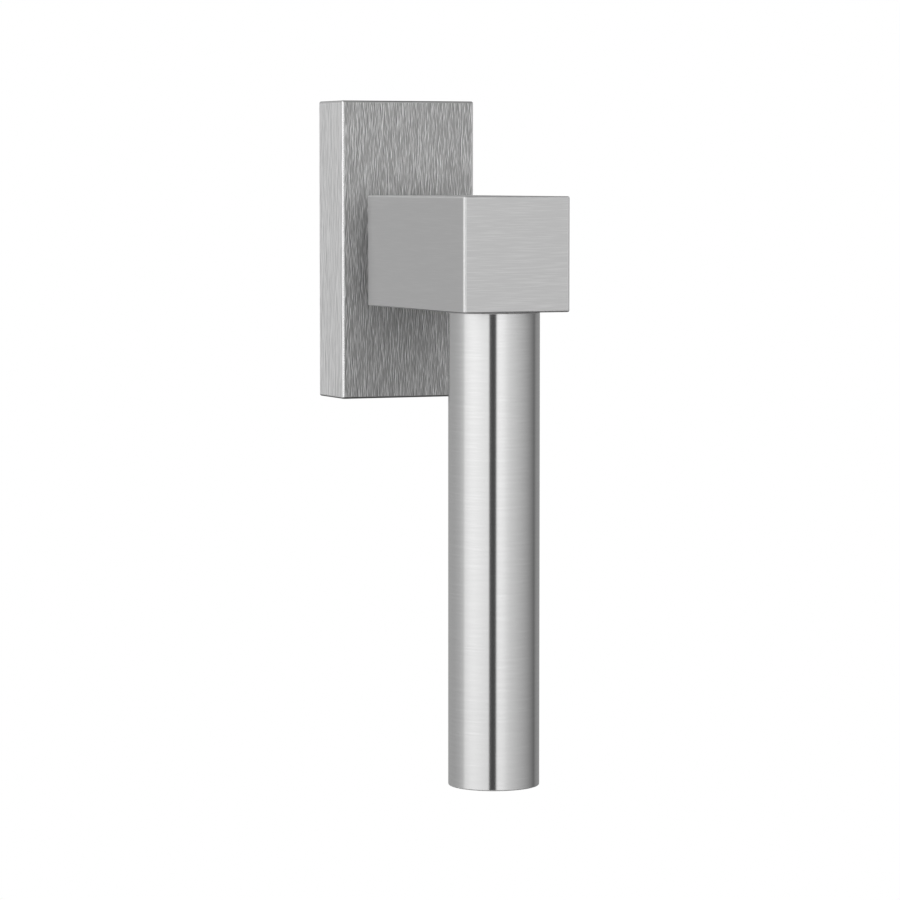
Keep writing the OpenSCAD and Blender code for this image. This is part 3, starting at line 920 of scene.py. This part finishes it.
make_cover()
make_block_arm()
make_lever()
make_end_disc()
make_neck()
make_wave_washer()
fasteners = fastener_pattern()
repeat_fastener(
    "fixing_screw_pair", fasteners, make_screw(), 1, 2, 0,
    SCREWS_HIGH.z - SCREWS_LOW.z - (SCREWS_HIGH.x - SCREWS_LOW.x), "fixing_screws",
)
repeat_fastener(
    "rear_plate_rivets", fasteners, make_rivet(), 2, 2,
    RIVETS_HIGH.x - RIVETS_LOW.x - 2 * RIVET_HEAD, RIVETS_HIGH.z - RIVETS_LOW.z - 2 * RIVET_HEAD,
    "plate_rivets",
)
for copy_name, source_node, finish, body, slot in (
    ("cast_base", "base_plate", ZINC, "base", "zinc"),
    ("stamped_rear_plate", "rear_plate", PLATING, "base", "plated_steel"),
    ("plain_bush", "bearing_bush", ACETAL, "base", "acetal"),
    ("steel_thrust_washer", "thrust_washer", PLATING, "base", "plated_steel"),
    ("guide_ring", "cover_guide_ring", ACETAL, "cover", "acetal"),
    ("grub_screw", "block_grub_screw", SPRING_STEEL, "grip", "spring_steel"),
    ("snap_ring", "retaining_ring", SPRING_STEEL, "grip", "spring_steel"),
    ("square_cam", "index_cam", PLATING, "grip", "plated_steel"),
    ("drive_spindle", "square_spindle", PLATING, "grip", "plated_steel"),
    ("cross_pin", "spindle_pin", SPRING_STEEL, "grip", "spring_steel"),
    ("lever_insert", "grip_insert", PLATING, "grip", "plated_steel"),
    ("lever_stud", "grip_stud", PLATING, "grip", "plated_steel"),
):
    finished_copy(copy_name, source_node, finish, body, slot)


def finish_packed_nodes():
    """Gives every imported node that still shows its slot's finish."""
    slots = {entry["node"]: entry["material_slot"] for entry in frame["record"]["subparts"]}
    for name, packed in frame["nodes"].items():
        if packed.hide_render:
            continue
        material = NODE_FINISH.get(slots[name], ZINC)
        packed.data.materials.clear()
        packed.data.materials.append(material)


finish_packed_nodes()


# ---------------------------------------------------------------- studio

# Where the camera stands round the handle, what it aims at, and its lens
CAMERA_TURN = radians(-22.0)
CAMERA_DISTANCE = 0.884
CAMERA_HEIGHT = 0.0168
CAMERA_AIM = Vector((0, -0.0389, -0.0445))
CAMERA_LENS = 151.5
CAMERA_SENSOR = 36
CAMERA_NEAREST = 0.01

# How bright the studio is all round the camera: degrees to the camera's right, and brightness.
# Two soft panels stand either side of the camera, with a narrow dark gap between them.
STUDIO = [
    (-180, 0.29), (-118, 0.38), (-100, 0.45), (-86, 0.58), (-79, 0.84), (-64, 0.97), (-52, 1.0),
    (-36, 0.96), (-18, 0.88), (-14.5, 0.82), (-12, 0.12), (-6, 0.07), (1.5, 0.08), (4, 0.32),
    (6, 0.94), (11.5, 1.0), (16.5, 0.99), (24, 0.92), (32, 0.80), (40, 0.71), (62, 0.55),
    (87, 0.38), (110, 0.21), (120, 0.14), (131, 0.24), (180, 0.29),
]
# The same from straight below, -1, to straight above, 1: the panels reach higher than they drop
STUDIO_HEIGHTS = [
    (-1, 0.34), (-0.82, 0.30), (-0.70, 0.16), (-0.60, 0.05), (-0.46, 0.05), (-0.34, 0.24),
    (-0.22, 0.92), (-0.12, 1.0), (0.0, 1.0), (0.80, 1.0), (0.90, 0.35), (1, 0.15),
]
STUDIO_POWER = 1.22
FLOOR_DROP = 1.2
FLOOR_SIZE = 12


def make_camera():
    """A long lens at the left of the handle, a little above the arm."""
    data = bpy.data.cameras.new("camera")
    data.lens = CAMERA_LENS
    data.sensor_width = CAMERA_SENSOR
    data.clip_start = CAMERA_NEAREST
    camera = bpy.data.objects.new("camera", data)
    camera.location = (
        CAMERA_DISTANCE * sin(CAMERA_TURN), -CAMERA_DISTANCE * cos(CAMERA_TURN), CAMERA_HEIGHT,
    )
    camera.rotation_euler = (CAMERA_AIM - camera.location).to_track_quat("-Z", "Y").to_euler()
    SCENE.collection.objects.link(camera)
    SCENE.camera = camera


def levels(tree, value, low, high, stops):
    """Grey levels that follow a value between low and high, from a list of (value, level)."""
    share = node(tree, "ShaderNodeMapRange", in1=low, in2=high, in3=0.0, in4=1.0)
    tree.links.new(value, share.inputs[0])
    ramp = node(tree, "ShaderNodeValToRGB")
    marks = ramp.color_ramp.elements
    marks.remove(marks[1])
    for index, (place, level) in enumerate(stops):
        position = (place - low) / (high - low)
        mark = marks[0] if index == 0 else marks.new(position)
        mark.position = position
        mark.color = (level, level, level, 1)
    tree.links.new(share.outputs[0], ramp.inputs[0])
    return ramp.outputs[0]


def make_studio_light():
    """Soft light from all round, which the steel mirrors; the ground that shows is white."""
    world = bpy.data.worlds.new("studio")
    world.use_nodes = True
    SCENE.world = world
    tree = world.node_tree
    link = tree.links.new
    tree.nodes.clear()
    direction = node(tree, "ShaderNodeTexCoord").outputs["Generated"]
    to_right = node(tree, "ShaderNodeVectorMath", operation="DOT_PRODUCT")
    to_right.inputs[1].default_value = (cos(CAMERA_TURN), sin(CAMERA_TURN), 0)
    to_camera = node(tree, "ShaderNodeVectorMath", operation="DOT_PRODUCT")
    to_camera.inputs[1].default_value = (sin(CAMERA_TURN), -cos(CAMERA_TURN), 0)
    link(direction, to_right.inputs[0])
    link(direction, to_camera.inputs[0])
    turn = node(tree, "ShaderNodeMath", operation="ARCTAN2")
    link(to_right.outputs["Value"], turn.inputs[0])
    link(to_camera.outputs["Value"], turn.inputs[1])
    split = node(tree, "ShaderNodeSeparateXYZ")
    link(direction, split.inputs[0])
    around = levels(tree, turn.outputs[0], -pi, pi, [(radians(a), level) for a, level in STUDIO])
    upward = levels(tree, split.outputs[2], -1, 1, STUDIO_HEIGHTS)
    power = node(tree, "ShaderNodeMath", operation="MULTIPLY", in1=STUDIO_POWER)
    link(upward, power.inputs[0])
    studio = node(tree, "ShaderNodeBackground")
    link(around, studio.inputs[0])
    link(power.outputs[0], studio.inputs[1])
    ground = node(tree, "ShaderNodeBackground", in0=(1, 1, 1, 1), in1=1.0)
    seen = node(tree, "ShaderNodeLightPath")
    mix = node(tree, "ShaderNodeMixShader")
    link(seen.outputs["Is Camera Ray"], mix.inputs[0])
    link(studio.outputs[0], mix.inputs[1])
    link(ground.outputs[0], mix.inputs[2])
    output = node(tree, "ShaderNodeOutputWorld")
    link(mix.outputs[0], output.inputs[0])


def make_floor():
    """A plain white floor far below, which doesn't colour the steel."""
    half = FLOOR_SIZE / 2
    level = LEVER_LOW.z - FLOOR_DROP
    mesh = bpy.data.meshes.new("floor")
    mesh.from_pydata(
        [(-half, -half, level), (half, -half, level), (half, half, level), (-half, half, level)],
        [], [(0, 1, 2, 3)],
    )
    floor = add_object("floor", mesh)
    material = bpy.data.materials.new("white_floor")
    material.use_nodes = True
    tree = material.node_tree
    tree.nodes.clear()
    glow = node(tree, "ShaderNodeEmission", in0=(1, 1, 1, 1), in1=1.0)
    output = node(tree, "ShaderNodeOutputMaterial")
    tree.links.new(glow.outputs[0], output.inputs[0])
    mesh.materials.append(material)
    floor.visible_diffuse = False
    floor.visible_glossy = False
    floor.visible_shadow = False


make_camera()
make_studio_light()
make_floor()
SCENE.view_settings.view_transform = "Standard"
